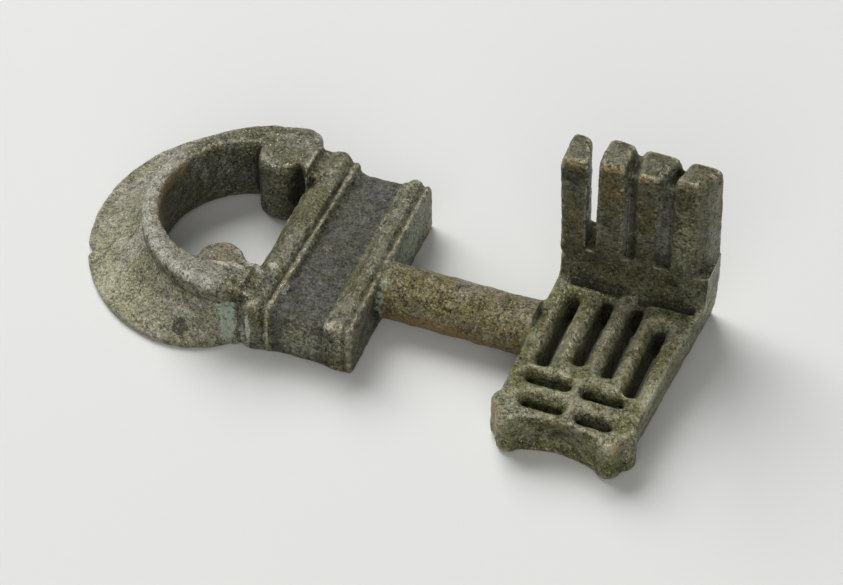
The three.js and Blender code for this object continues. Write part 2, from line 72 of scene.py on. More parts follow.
cameraView = {
    "azimuth": 20.89,  # degrees
    "elevation": 45.05,
    "distance": 478.5 * mm,
    "aim": (15.8 * mm, 0, 0),  # then shifted in the picture's own plane
    "aimRight": -5.14 * mm,
    "aimUp": 3.06 * mm,
    "lens": 179.8,
    "sensor": 36,
    "clip": (0.01, 10),
}


def makeCamera(size):
    a = math.radians(size["azimuth"])
    e = math.radians(size["elevation"])
    back = Vector((math.sin(a) * math.cos(e), -math.cos(a) * math.cos(e), math.sin(e)))
    right = Vector((math.cos(a), math.sin(a), 0))
    up = back.cross(right)
    camera = placeObject("camera", bpy.data.cameras.new("camera"))
    camera.data.lens = size["lens"]
    camera.data.sensor_width = size["sensor"]
    camera.data.clip_start, camera.data.clip_end = size["clip"]
    camera.location = (
        Vector(size["aim"]) + right * size["aimRight"] + up * size["aimUp"] + back * size["distance"]
    )
    camera.rotation_mode = "QUATERNION"
    camera.rotation_quaternion = (-back).to_track_quat("-Z", "Y")
    bpy.context.scene.camera = camera


makeCamera(cameraView)


# small helpers for node trees

def addNode(tree, kind, inputs=None, **settings):
    node = tree.nodes.new(kind)
    for name, value in settings.items():
        setattr(node, name, value)
    for key, value in (inputs or {}).items():
        socket = node.inputs[key]
        if isinstance(value, bpy.types.NodeSocket):
            tree.links.new(value, socket)
        else:
            socket.default_value = value
    return node


def mathNode(tree, operation, a, b=0.0, clamp=False):
    node = addNode(tree, "ShaderNodeMath", {0: a, 1: b}, operation=operation, use_clamp=clamp)
    return node.outputs[0]


def mixColour(tree, share, a, b):
    # the mixing node has a row of sockets for each kind of value, and these are the colour's
    return addNode(tree, "ShaderNodeMix", {0: share, 6: a, 7: b}, data_type="RGBA").outputs[2]


def ramp(tree, value, low, high, toLow=0.0, toHigh=1.0):
    node = addNode(
        tree, "ShaderNodeMapRange",
        {"Value": value, "From Min": low, "From Max": high, "To Min": toLow, "To Max": toHigh},
        interpolation_type="SMOOTHSTEP",
    )
    return node.outputs[0]


def meshValue(tree, name):
    return addNode(tree, "ShaderNodeAttribute", attribute_name=name).outputs["Fac"]


def srgb(red, green, blue):
    def linear(level):
        level = level / 255
        return level / 12.92 if level <= 0.04045 else ((level + 0.055) / 1.055) ** 2.4
    return (linear(red), linear(green), linear(blue), 1)


# noises: size, detail, shift and roughness; a noise without a size gets it where it is used

noises = {
    "patches": (None, 4.0, 0.013, 0.68),
    "cloud": (1.1 * mm, 4.0, 0.051, 0.7),
    "fine": (0.27 * mm, 2.0, 0.027, 0.7),
    "specks": (0.3 * mm, 2.0, 0.091, 0.75),
    "grain": (None, 4.0, 0.017, 0.72),
    "coarse": (0.85 * mm, 3.0, 0.057, 0.6),
    "pits": (None, 2.0, 0.083, 0.6),
    "breakUp": (0.8 * mm, 4.0, 0.031, 0.7),
    "spots": (None, 4.0, 0.067, 0.72),
    "uneven": (1.6 * mm, 4.0, 0.041, 0.6),
    "floor": (0.12, 2.0, 0.5, 0.6),
}

# the part of a value's range over which it goes from nothing to full
spans = {
    "patches": (0.4, 0.6),
    "cloud": (0.32, 0.68),
    "fine": (0.3, 0.7),
    "pits": (0.58, 0.7),
    "breakUp": (0.36, 0.62),
    "uneven": (0.3, 0.7),
    "floor": (0.3, 0.7),
    "edge": (0.012, 0.05),  # millimetres that a spot stands out of its surroundings
    "hollow": (0.05, 0.22),  # millimetres that it lies under them
}


def objectNoise(tree, key, size=None):
    ownSize, detail, shift, rough = noises[key]
    place = addNode(tree, "ShaderNodeTexCoord").outputs["Object"]
    offset = (shift, shift * 0.7, shift * 1.3)
    moved = addNode(tree, "ShaderNodeMapping", {"Vector": place, "Location": offset})
    scale = 1 / ownSize if size is None else mathNode(tree, "DIVIDE", 1.0, size)
    return addNode(
        tree, "ShaderNodeTexNoise",
        {"Vector": moved.outputs[0], "Scale": scale, "Detail": detail, "Roughness": rough},
    ).outputs[0]


# shader groups that every bronze surface shares

floatSocket = "NodeSocketFloat"
colourSocket = "NodeSocketColor"


def shaderGroup(name, inputs, outputs):
    tree = bpy.data.node_groups.new(name, "ShaderNodeTree")
    for title, kind, value in inputs:
        socket = tree.interface.new_socket(title, in_out="INPUT", socket_type=kind)
        socket.default_value = value
    for title, kind in outputs:
        tree.interface.new_socket(title, in_out="OUTPUT", socket_type=kind)
    return tree, tree.nodes.new("NodeGroupInput").outputs, tree.nodes.new("NodeGroupOutput").inputs


patinaTones = {
    "cloud": 0.55,  # how far the noises lighten and darken the skin
    "fine": 0.75,
    "speckStart": 0.7,  # level of the speck noise from which it shows, when the share is nothing
    "speckSpread": 0.2,
    "speckEdge": 0.1,
    "speckCover": 0.8,
}


def patinaGroup(tones):
    tree, start, finish = shaderGroup(
        "patinaColour",
        [
            ("Ground", colourSocket, srgb(110, 108, 92)),
            ("Other Ground", colourSocket, srgb(96, 88, 70)),
            ("Speck", colourSocket, srgb(150, 152, 132)),
            ("Patch Size", floatSocket, 7 * mm),
            ("Speck Share", floatSocket, 0.3),
            ("Contrast", floatSocket, 0.5),
        ],
        [("Colour", colourSocket)],
    )
    patches = ramp(tree, objectNoise(tree, "patches", start["Patch Size"]), *spans["patches"])
    colour = mixColour(tree, patches, start["Ground"], start["Other Ground"])
    cloud = ramp(tree, objectNoise(tree, "cloud"), *spans["cloud"], -tones["cloud"], tones["cloud"])
    fine = ramp(tree, objectNoise(tree, "fine"), *spans["fine"], -tones["fine"], tones["fine"])
    shade = mathNode(tree, "MULTIPLY", mathNode(tree, "ADD", cloud, fine), start["Contrast"])
    level = mathNode(tree, "ADD", shade, 1.0)
    shaded = addNode(tree, "ShaderNodeVectorMath", {0: colour, "Scale": level}, operation="SCALE")
    spread = mathNode(tree, "MULTIPLY", start["Speck Share"], tones["speckSpread"])
    low = mathNode(tree, "SUBTRACT", tones["speckStart"], spread)
    high = mathNode(tree, "ADD", low, tones["speckEdge"])
    specks = ramp(tree, objectNoise(tree, "specks"), low, high)
    specks = mathNode(tree, "MULTIPLY", specks, tones["speckCover"])
    colour = mixColour(tree, specks, shaded.outputs[0], start["Speck"])
    tree.links.new(colour, finish["Colour"])
    return tree


grainHeights = {"coarse": 1.1, "pits": 0.6}  # next to the fine grain's 1


def grainGroup(heights):
    tree, start, finish = shaderGroup(
        "castGrain",
        [("Grain Size", floatSocket, 0.25 * mm), ("Pit Size", floatSocket, 0.32 * mm)],
        [("Height", floatSocket), ("Pits", floatSocket)],
    )
    grain = objectNoise(tree, "grain", start["Grain Size"])
    pits = ramp(tree, objectNoise(tree, "pits", start["Pit Size"]), *spans["pits"])
    coarse = mathNode(tree, "MULTIPLY", objectNoise(tree, "coarse"), heights["coarse"])
    height = mathNode(tree, "ADD", coarse, grain)
    height = mathNode(tree, "SUBTRACT", height, mathNode(tree, "MULTIPLY", pits, heights["pits"]))
    tree.links.new(height, finish["Height"])
    tree.links.new(pits, finish["Pits"])
    return tree


def edgeWearGroup():
    tree, start, finish = shaderGroup(
        "edgeWear",
        [("Wear", floatSocket, 0.5), ("Settled Dirt", floatSocket, 0.5)],
        [("Worn", floatSocket), ("Hollow", floatSocket)],
    )
    proud = mathNode(tree, "MULTIPLY", meshValue(tree, "nearHollow"), -1.0)
    edge = ramp(tree, proud, *spans["edge"])
    patchy = ramp(tree, objectNoise(tree, "breakUp"), *spans["breakUp"])
    worn = mathNode(tree, "MULTIPLY", mathNode(tree, "MULTIPLY", edge, patchy), start["Wear"], True)
    tree.links.new(worn, finish["Worn"])
    hollow = ramp(tree, meshValue(tree, "wideHollow"), *spans["hollow"])
    hollow = mathNode(tree, "MULTIPLY", hollow, start["Settled Dirt"], True)
    tree.links.new(hollow, finish["Hollow"])
    return tree


spotForm = {
    "start": 0.73,  # level of the noise from which a faint spot shows
    "spread": 0.45,  # how much lower that level is in a full one
    "edge": 0.22,
    "gate": 0.3,  # strength of paint from which nothing is held back
}


def spotGroup(size):
    # a painted spot with its edge broken up
    tree, start, finish = shaderGroup(
        "brokenSpot",
        [("Painted", floatSocket, 0.0), ("Grain", floatSocket, 0.8 * mm)],
        [("Mask", floatSocket)],
    )
    spread = mathNode(tree, "MULTIPLY", start["Painted"], size["spread"])
    low = mathNode(tree, "SUBTRACT", size["start"], spread)
    high = mathNode(tree, "ADD", low, size["edge"])
    mask = ramp(tree, objectNoise(tree, "spots", start["Grain"]), low, high)
    gate = ramp(tree, start["Painted"], 0.0, size["gate"])
    tree.links.new(mathNode(tree, "MULTIPLY", mask, gate), finish["Mask"])
    return tree


sharedGroups = {
    "patina": patinaGroup(patinaTones),
    "grain": grainGroup(grainHeights),
    "wear": edgeWearGroup(),
    "spot": spotGroup(spotForm),
}


def groupNode(tree, key, inputs):
    return addNode(tree, "ShaderNodeGroup", inputs, node_tree=sharedGroups[key]).outputs


# the bronze of each form: an olive skin, greyer and lighter on the skirt, darker on panel and teeth

bronzeLooks = {
    "skirt_bronze": {
        "ground": srgb(130, 127, 113), "otherGround": srgb(110, 109, 84), "speck": srgb(206, 204, 180),
        "patchSize": 5 * mm, "speckShare": 0.5, "contrast": 0.75, "wear": 0.4, "dirtAndShade": 0.7, "metal": 0.55,
        "roughness": 0.47, "bump": 0.21 * mm,
    },
    "rim_bronze": {
        "ground": srgb(105, 103, 89), "otherGround": srgb(90, 89, 66), "speck": srgb(206, 203, 190),
        "patchSize": 4 * mm, "speckShare": 0.5, "contrast": 0.85, "wear": 0.8, "dirtAndShade": 0.9, "metal": 0.68,
        "roughness": 0.39, "bump": 0.252 * mm,
    },
    "collar_bronze": {
        "ground": srgb(105, 104, 88), "otherGround": srgb(88, 86, 58), "speck": srgb(188, 186, 160),
        "patchSize": 5 * mm, "speckShare": 0.42, "contrast": 0.85, "wear": 0.8, "dirtAndShade": 1.0, "metal": 0.68,
        "roughness": 0.39, "bump": 0.252 * mm,
    },
    "panel_bronze": {
        "ground": srgb(80, 79, 74), "otherGround": srgb(74, 72, 60), "speck": srgb(140, 139, 128),
        "patchSize": 4 * mm, "speckShare": 0.35, "contrast": 0.75, "wear": 0.4, "dirtAndShade": 0.9, "metal": 0.68,
        "roughness": 0.43, "bump": 0.252 * mm,
    },
    "shank_bronze": {
        "ground": srgb(114, 107, 86), "otherGround": srgb(98, 90, 56), "speck": srgb(194, 187, 156),
        "patchSize": 4 * mm, "speckShare": 0.42, "contrast": 0.9, "wear": 0.5, "dirtAndShade": 0.6, "metal": 0.75,
        "roughness": 0.37, "bump": 0.266 * mm,
    },
    "bit_bronze": {
        "ground": srgb(122, 121, 100), "otherGround": srgb(100, 100, 64), "speck": srgb(196, 195, 160),
        "patchSize": 4 * mm, "speckShare": 0.45, "contrast": 0.85, "wear": 0.7, "dirtAndShade": 0.9, "metal": 0.68,
        "roughness": 0.39, "bump": 0.266 * mm,
    },
    "tooth_bronze": {
        "ground": srgb(94, 93, 76), "otherGround": srgb(82, 80, 54), "speck": srgb(152, 151, 126),
        "patchSize": 4 * mm, "speckShare": 0.38, "contrast": 0.75, "wear": 0.8, "dirtAndShade": 0.7, "metal": 0.72,
        "roughness": 0.38, "bump": 0.266 * mm,
    },
}

# painted layers: their colour, how far they cover what is under them, the grain of their edge

layers = {
    # rubbed skin, and painted highlights, a painted reflection and painted light in shade
    "greyAndPaintedLight": {"colour": srgb(160, 157, 148), "cover": 0.65, "grain": 0.35 * mm},
    "pale": {"colour": srgb(183, 183, 153), "cover": 0.6, "grain": 0.35 * mm},
    "gold": {"colour": srgb(146, 116, 66), "cover": 0.7, "grain": 0.4 * mm},
    # dark tone: mostly painted shade, with a real dark spot and dirt
    "dirtAndShade": {"colour": srgb(46, 44, 37), "cover": 0.8, "grain": 0.5 * mm},
    "verdigris": {"colour": srgb(164, 178, 160), "cover": 0.85, "grain": 0.6 * mm},
    # whitish crust, and a painted highlight along the rim's outer edge
    "depositAndHighlight": {"colour": srgb(204, 202, 190), "cover": 0.8, "grain": 0.24 * mm},
    "bareMetal": {"colour": srgb(184, 152, 100), "cover": 0.75, "grain": 0.35 * mm},
}

# what all the bronzes have in common

skin = {
    "worn": srgb(172, 164, 142),
    "hollow": srgb(42, 41, 32),
    "grainSize": 0.25 * mm,
    "pitSize": 0.32 * mm,
    "pitDirt": 0.2,
    "shineMetal": 0.4,  # worn spots: more metal, less rough
    "shineRough": 0.12,
    "crustAndHighlightMetal": 0.5,  # crusts and the painted highlight in the whitish layer: less metal, rougher
    "crustAndHighlightRough": 0.3,
    "smoother": 0.14,  # how far the roughness wanders down and up
    "rougher": 0.1,
}


def bronzeMaterial(name, look, size):
    material = bpy.data.materials.new(name)
    material.use_nodes = True
    tree = material.node_tree
    bronze = tree.nodes["Principled BSDF"]
    colour = groupNode(tree, "patina", {
        "Ground": look["ground"], "Other Ground": look["otherGround"], "Speck": look["speck"],
        "Patch Size": look["patchSize"], "Speck Share": look["speckShare"], "Contrast": look["contrast"],
    })["Colour"]
    grain = groupNode(tree, "grain", {"Grain Size": size["grainSize"], "Pit Size": size["pitSize"]})
    wear = groupNode(tree, "wear", {"Wear": look["wear"], "Settled Dirt": look["dirtAndShade"]})
    masks = {}
    for kind, layer in layers.items():
        painted = meshValue(tree, kind)
        mask = groupNode(tree, "spot", {"Painted": painted, "Grain": layer["grain"]})["Mask"]
        masks[kind] = mathNode(tree, "MULTIPLY", mask, layer["cover"])
    # the light grey layer carries painted light as well as rubbed skin
    for kind in ("greyAndPaintedLight", "pale", "gold"):
        colour = mixColour(tree, masks[kind], colour, layers[kind]["colour"])
    pits = mathNode(tree, "MULTIPLY", grain["Pits"], size["pitDirt"])
    for mask, tone in ((pits, "hollow"), (wear["Hollow"], "hollow"), (wear["Worn"], "worn")):
        colour = mixColour(tree, mask, colour, size[tone])
    # the dark layer is mostly painted shade; the whitish layer also holds a painted highlight
    for kind in ("dirtAndShade", "verdigris", "depositAndHighlight", "bareMetal"):
        colour = mixColour(tree, masks[kind], colour, layers[kind]["colour"])
    tree.links.new(colour, bronze.inputs["Base Color"])
    shine = mathNode(tree, "MAXIMUM", wear["Worn"], masks["bareMetal"])
    # crusts and the painted highlight: less metal, rougher
    crustAndHighlight = mathNode(tree, "MAXIMUM", masks["depositAndHighlight"], masks["verdigris"])
    metal = mathNode(tree, "ADD", mathNode(tree, "MULTIPLY", shine, size["shineMetal"]), look["metal"])
    metal = mathNode(tree, "SUBTRACT", metal, mathNode(tree, "MULTIPLY", crustAndHighlight, size["crustAndHighlightMetal"]), True)
    tree.links.new(metal, bronze.inputs["Metallic"])
    low, high = look["roughness"] - size["smoother"], look["roughness"] + size["rougher"]
    rough = ramp(tree, objectNoise(tree, "uneven"), *spans["uneven"], low, high)
    rough = mathNode(tree, "SUBTRACT", rough, mathNode(tree, "MULTIPLY", shine, size["shineRough"]))
    rough = mathNode(tree, "ADD", rough, mathNode(tree, "MULTIPLY", crustAndHighlight, size["crustAndHighlightRough"]), True)
    tree.links.new(rough, bronze.inputs["Roughness"])
    bump = addNode(
        tree, "ShaderNodeBump", {"Height": grain["Height"], "Distance": look["bump"], "Strength": 1.0}
    )
    tree.links.new(bump.outputs[0], bronze.inputs["Normal"])
    return material


bronzes = {name: bronzeMaterial(name, look, skin) for name, look in bronzeLooks.items()}


# the cast body: every piece of the frame melted together, with soft joints and a cast skin

castBody = {
    "voxel": 0.15 * mm,
    "fillet": 0.24 * mm,  # radius of the soft inside corners
    "smoothing": (3, 2, 3),  # rounds before swelling, before shrinking, and at the end
    "lumpSize": 3.4 * mm,
    "lumpHeight": 0.15 * mm,
    "dentSize": 1.2 * mm,
    "dentHeight": 0.12 * mm,
    "pitSize": 0.6 * mm,
    "pitDepth": 0.11 * mm,
    "seed": 4.0,
    "hollowRounds": {"nearHollow": 6, "wideHollow": 60},  # rounds of blur for the surroundings
    "margin": 0.005,  # millimetres that it stays inside the frame's box
    "material": bronzes["bit_bronze"],
}
weldReach = 0.001 * mm

# runs of metal where two forms meet: the way a section is drawn along, its span and its outline
runs = [
    ("x", (-9.2, -7.0), [(-9.5, 0), (-13.3, 0), (-13.2, 0.6), (-11.9, 6.1), (-9.5, 6.1)]),
    ("x", (-9.2, -7.0), [(10.7, 0), (14.4, 0), (14.3, 0.6), (13.0, 6.1), (10.7, 6.1)]),
    ("y", (-12.2, -7.3), [(-8.6, 5), (-8.6, 8.2), (-7.2, 8.1), (-5.4, 7.2), (-5.4, 5)]),
    ("y", (8.6, 12.9), [(-8.0, 5), (-8.0, 8.0), (-7.0, 7.9), (-5.6, 7.0), (-5.6, 5)]),
    ("y", (7.2, 10.7), [(31.3, 9), (33.4, 9), (33.2, 21.4), (31.4, 22.0)]),  # between teeth 2 and 3
    ("y", (7.3, 10.7), [(34.8, 9), (38.2, 9), (38.2, 20.8), (35.4, 21.6)]),  # between teeth 3 and 4
]


def nodeForm(node):
    form = bmesh.new()
    form.from_mesh(node.data)
    bmesh.ops.remove_doubles(form, verts=form.verts, dist=weldReach)
    return form


def runForm(way, span, outline):
    form = bmesh.new()
    ends = []
    for along in span:
        places = [(along, a, b) if way == "x" else (a, along, b) for a, b in outline]
        ends.append([form.verts.new([v * mm for v in place]) for place in places])
    form.faces.new(ends[0])
    form.faces.new(reversed(ends[1]))
    for i, corner in enumerate(ends[0]):
        after = (i + 1) % len(outline)
        form.faces.new([ends[0][after], corner, ends[1][i], ends[1][after]])
    bmesh.ops.recalc_face_normals(form, faces=form.faces[:])
    return form


def formMesh(name, form):
    mesh = bpy.data.meshes.new(name)
    form.to_mesh(mesh)
    form.free()
    return mesh


def meltNodes():
    whole = bmesh.new()
    forms = [nodeForm(node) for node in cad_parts.values()]
    forms += [runForm(*run) for run in runs]
    for form in forms:
        part = formMesh("part", form)
        whole.from_mesh(part)
        bpy.data.meshes.remove(part)
    return placeObject("castBody", formMesh("castBody", whole))


def addModifier(obj, kind, **settings):
    modifier = obj.modifiers.new(kind.lower(), kind)
    for name, value in settings.items():
        setattr(modifier, name, value)
    return modifier


def bakeModifiers(obj):
    graph = bpy.context.evaluated_depsgraph_get()
    mesh = bpy.data.meshes.new_from_object(obj.evaluated_get(graph))
    obj.modifiers.clear()
    old = obj.data
    obj.data = mesh
    bpy.data.meshes.remove(old)


def softenBody(body, size):
    # swell and shrink again: inside corners fill to a radius, then the outside ones round off
    for rounds, swell in zip(size["smoothing"], (size["fillet"], -size["fillet"], 0)):
        addModifier(body, "REMESH", mode="VOXEL", voxel_size=size["voxel"])
        addModifier(body, "SMOOTH", factor=0.5, iterations=rounds)
        if swell:
            addModifier(body, "DISPLACE", strength=swell, mid_level=0)
    bakeModifiers(body)


# the mesh's points as rows of millimetres, and back

def pointsOf(obj):
    places = np.empty(len(obj.data.vertices) * 3, np.float32)
    obj.data.vertices.foreach_get("co", places)
    return places.reshape(-1, 3) / mm


def setPoints(obj, places):
    obj.data.vertices.foreach_set("co", (places * mm).astype(np.float32).ravel())
    obj.data.update()


def softStep(value):
    value = np.clip(value, 0, 1)
    return value * value * (3 - 2 * value)


def awayFrom(places, middle, reach):
    # nothing at the middle, 1 where the reach ends
    return np.sqrt((((places - middle) / np.array(reach)) ** 2).sum(axis=1))


# places where the wax was pushed or pulled: middle, reach and move, all in millimetres

pushes = [
    ((-4.3, 13.4, 7.4), (3.4, 7.0, 5.5), (0, 0.5, 0.65)),  # far end of the rear moulding
    ((-8.2, 8.3, 5.0), (1.5, 1.8, 6.0), (0, 0.8, 0)),  # recess beside the far cusp
    ((-28.9, -5.6, 0.8), (1.4, 1.2, 2.0), (0.7, 0.15, 0)),  # nick in the skirt's edge
    ((-9.0, 13.4, 7.5), (3.5, 4.0, 5.0), (0.6, 0.4, 0)),  # the rim's far end
    ((32.6, -16.4, 2.7), (5.4, 2.0, 2.6), (0, 0.6, 0)),  # hollow between the front knobs
    ((-7.3, -9.3, 8.9), (2.6, 4.6, 1.1), (0, 0, -0.6)),  # the rim's near end sinks to the collar
    ((28.6, 5.4, 7.9), (2.4, 1.4, 1.3), (0, 0.5, 0)),  # relief in the front of the teeth's bar
    ((33.4, 5.2, 8.6), (1.6, 1.2, 1.2), (0, -0.2, 0)),
    ((38.2, 5.4, 7.6), (2.6, 1.4, 1.3), (0, 0.5, 0)),
    ((-7.3, -6.5, 8.6), (1.4, 1.7, 2.4), (0, -0.4, -1.3)),  # the rim's corner at the throat
]

# a tooth's wall moved as a whole: its low and high corner, how far outside it still moves, the move

wallMoves = [
    ((28.2, 6.0, 9.5), (29.6, 6.5, 24), (1.2, 4.5, 1.5), (-0.8, 0, 0)),  # tooth 2, left
    ((24.0, 6.0, 9.5), (25.2, 11.0, 24), (1.0, 2.0, 1.5), (-0.25, 0, 0)),  # tooth 1, left
    ((27.2, 6.0, 9.5), (28.0, 6.5, 24), (1.0, 3.0, 1.5), (0.3, 0, 0)),  # tooth 1, right front
    ((41.1, 5.6, 6.0), (42.1, 11.2, 24), (0.9, 1.2, 0.8), (0.4, 0, 0)),  # tooth 4, right
]


def pushWax(places, pushList):
    for middle, reach, move in pushList:
        places += softStep(1 - awayFrom(places, middle, reach))[:, None] * np.array(move)


def moveWalls(places, moves):
    for low, high, fade, move in moves:
        outside = np.maximum(np.array(low) - places, places - np.array(high)).clip(0)
        places += softStep(1 - awayFrom(outside, 0, fade))[:, None] * np.array(move)


# the bars between the plate's slots are round, and two shallow trenches run along the bar's foot

slotForms = {
    "halfWidth": 0.7,
    "from": 24.9,  # nothing nearer the collar is touched, and nothing higher over the plate
    "over": 1.2,
    "top": 5.6,
    "depth": 2.2,  # how far down the rounding reaches
    "reach": 1.15,
    "drop": 0.8,
    "lines": [  # from and to, in plan
        ((27.7, -7.6), (27.7, 2.7)), ((31.45, -6.2), (31.45, 3.6)),
        ((34.95, -6.9), (34.95, 3.8)), ((38.35, -8.8), (38.35, 1.2)),
        ((27.5, -10.5), (31.2, -10.5)), ((34.0, -10.75), (37.6, -10.75)),
        ((28.1, -14.1), (31.6, -14.1)), ((34.6, -14.55), (37.5, -14.55)),
    ],
    "trenches": [((26.9, 5.0), (32.2, 5.0)), ((34.7, 5.0), (40.6, 5.0))],
    "trenchReach": 0.9,
    "trenchDrop": 0.55,
}


def awayFromLine(places, start, end):
    start, end = np.array(start), np.array(end)
    way = end - start
    along = np.clip(((places[:, :2] - start) @ way) / (way @ way), 0, 1)
    return np.linalg.norm(places[:, :2] - start - along[:, None] * way, axis=1)


def roundSlotBars(places, size):
    near = np.min([awayFromLine(places, *line) for line in size["lines"]], axis=0) - size["halfWidth"]
    share = np.clip(1 - near.clip(0) / size["reach"], 0, 1) ** 2 * size["drop"]
    trench = np.min([awayFromLine(places, *line) for line in size["trenches"]], axis=0)
    share += softStep(1 - trench / size["trenchReach"]) * size["trenchDrop"]
    high = softStep((places[:, 2] - size["top"] + size["depth"]) / size["depth"])
    onPlate = (places[:, 0] > size["from"]) & (places[:, 2] < size["top"] + size["over"])
    places[:, 2] -= share * high * onPlate


# fine grooves round the collar: place along it at the middle, lean over its width, depth

grooves = {
    "halfWidth": 0.24,
    "lines": [
        (-6.65, 0.0, 0.08), (-3.42, 0.39, 0.16), (-2.42, 0.5, 0.1),
        (3.3, 0.0, 0.12), (3.78, 0.0, 0.1), (5.92, 0.0, 0.15),
    ],
    "half": 12.85,  # half the collar's width
    "facing": (2, 2.5),  # full depth on faces up to 0.4 along the key, none from 0.8
    "foot": 1.5,  # they fade out over this height above the floor
    "end": 6.9,
    "top": 7.9,
}


def cutGrooves(body, places, size):
    normals = np.empty(len(body.data.vertices) * 3, np.float32)
    body.data.vertex_normals.foreach_get("vector", normals)
    normals = normals.reshape(-1, 3)
    ahead = np.zeros(len(places))
    for middle, lean, depth in size["lines"]:
        off = places[:, 0] - middle - lean * places[:, 1] / size["half"]
        ahead += depth * np.exp(-((off / size["halfWidth"]) ** 2))
    full, fade = size["facing"]
    upright = softStep(full - fade * np.abs(normals[:, 0]))
    above = softStep(places[:, 2] / size["foot"])
    onCollar = (np.abs(places[:, 0]) < size["end"]) & (places[:, 2] < size["top"])
    places -= normals * (ahead * upright * above * onCollar)[:, None]


skinSockets = {
    "Lump Size": "lumpSize", "Lump Height": "lumpHeight", "Dent Size": "dentSize",
    "Dent Height": "dentHeight", "Pit Size": "pitSize", "Pit Depth": "pitDepth", "Seed": "seed",
    "Material": "material",
}


def castSkinTree(size):
    tree = bpy.data.node_groups.new("castSkin", "GeometryNodeTree")
    face = tree.interface
    face.new_socket("Geometry", in_out="INPUT", socket_type="NodeSocketGeometry")
    for name in skinSockets:
        kind = "NodeSocketMaterial" if name == "Material" else floatSocket
        face.new_socket(name, in_out="INPUT", socket_type=kind)
    face.new_socket("Geometry", in_out="OUTPUT", socket_type="NodeSocketGeometry")
    start = tree.nodes.new("NodeGroupInput").outputs
    position = addNode(tree, "GeometryNodeInputPosition").outputs[0]
    normal = addNode(tree, "GeometryNodeInputNormal").outputs[0]

    def relief(sizeName, heightName, detail, shift, flat=0.5, stretch=2.0, oneSided=False):
        scale = mathNode(tree, "DIVIDE", 1.0, start[sizeName])
        offset = mathNode(tree, "ADD", start["Seed"], shift)
        level = addNode(
            tree, "ShaderNodeTexNoise",
            {"Vector": position, "W": offset, "Scale": scale, "Detail": detail},
            noise_dimensions="4D",
        ).outputs[0]
        level = mathNode(tree, "SUBTRACT", level, flat)
        if oneSided:
            level = mathNode(tree, "MAXIMUM", level, 0.0)
        level = mathNode(tree, "MULTIPLY", level, start[heightName])
        return mathNode(tree, "MULTIPLY", level, stretch)

    lump = relief("Lump Size", "Lump Height", detail=2.0, shift=0.0)
    dent = relief("Dent Size", "Dent Height", detail=3.0, shift=7.0)
    pit = relief("Pit Size", "Pit Depth", detail=1.0, shift=13.0, flat=0.58, stretch=6.0, oneSided=True)
    rise = mathNode(tree, "SUBTRACT", mathNode(tree, "ADD", lump, dent), pit)
    push = addNode(tree, "ShaderNodeVectorMath", {0: normal, "Scale": rise}, operation="SCALE")
    moved = addNode(
        tree, "GeometryNodeSetPosition", {"Geometry": start["Geometry"], "Offset": push.outputs[0]}
    )
    geometry = moved.outputs[0]
    # how far each spot lies under its surroundings, near and wide
    for name, rounds in size["hollowRounds"].items():
        blurred = addNode(
            tree, "GeometryNodeBlurAttribute", {"Value": position, "Iterations": rounds},
            data_type="FLOAT_VECTOR",
        )
        around = [s for s in blurred.outputs if s.enabled][0]
        gap = addNode(tree, "ShaderNodeVectorMath", {0: around, 1: position}, operation="SUBTRACT")
        depth = addNode(
            tree, "ShaderNodeVectorMath", {0: gap.outputs[0], 1: normal}, operation="DOT_PRODUCT"
        )
        inMillimetres = mathNode(tree, "MULTIPLY", depth.outputs["Value"], 1000.0)
        stored = addNode(
            tree, "GeometryNodeStoreNamedAttribute",
            {"Geometry": geometry, "Name": name, "Value": inMillimetres},
            data_type="FLOAT", domain="POINT",
        )
        geometry = stored.outputs[0]
    whole = addNode(tree, "GeometryNodeRealizeInstances", {"Geometry": geometry}).outputs[0]
    cast = addNode(tree, "GeometryNodeSetMaterial", {"Geometry": whole, "Material": start["Material"]})
    finish = tree.nodes.new("NodeGroupOutput")
    tree.links.new(cast.outputs[0], finish.inputs[0])
    return tree


def roughenBody(body, size):
    tree = castSkinTree(size)
    modifier = body.modifiers.new("castSkin", "NODES")
    modifier.node_group = tree
    for socket in tree.interface.items_tree:
        if socket.in_out == "INPUT" and socket.name in skinSockets:
            modifier[socket.identifier] = size[skinSockets[socket.name]]
    bakeModifiers(body)


def keepInsideFrame(body, size):
    # the cast skin never stands out past the frame's box
    low = np.array(cadLow) / mm + size["margin"]
    high = np.array(cadHigh) / mm - size["margin"]
    low[2] = 0
    setPoints(body, np.clip(pointsOf(body), low, high))


body = meltNodes()
softenBody(body, castBody)
places = pointsOf(body)
cutGrooves(body, places, grooves)
roundSlotBars(places, slotForms)
pushWax(places, pushes)
moveWalls(places, wallMoves)
setPoints(body, places)
roughenBody(body, castBody)
keepInsideFrame(body, castBody)
print("cast body,", len(body.data.polygons), "faces")


# cutting the cast body into the forms that its wax model was built from

far = 60 * mm

cuts = {
    "seam": 0.35 * mm,  # a cut keeps this far off a flat face, so that its lumps stay in one piece
    "ribFront": -2.25 * mm,  # where the rear moulding ends, and how far askew
    "ribLean": 0.046,
    "wallHeight": 3 * mm,  # the outline of the bow's wall is taken at this height
    "skirtSeam": 0.15 * mm,
    "barSeam": 0.6 * mm,
    "knobBackSeam": 0.5 * mm,
    "knobSideSeam": 0.4 * mm,
    "crumb": 1000,  # loose bits with fewer corners are thrown away
}


def block(left=-far, right=far, front=-far, back=far, bottom=-far, top=far):
    # reaches past the key on every side that isn't given
    form = bmesh.new()
    bmesh.ops.create_cube(form, size=1)
    low, high = (left, front, bottom), (right, back, top)
    for corner in form.verts:
        corner.co = [a + (b - a) * (c + 0.5) for a, b, c in zip(low, high, corner.co)]
    return placeObject("cell", formMesh("cell", form))


def slantedBlock(front, lean):
    # all that lies behind an upright plane that runs askew
    cell = block(right=front)
    for corner in cell.data.vertices:
        if corner.co.x > front - mm:
            corner.co.x += lean * corner.co.y
    return cell


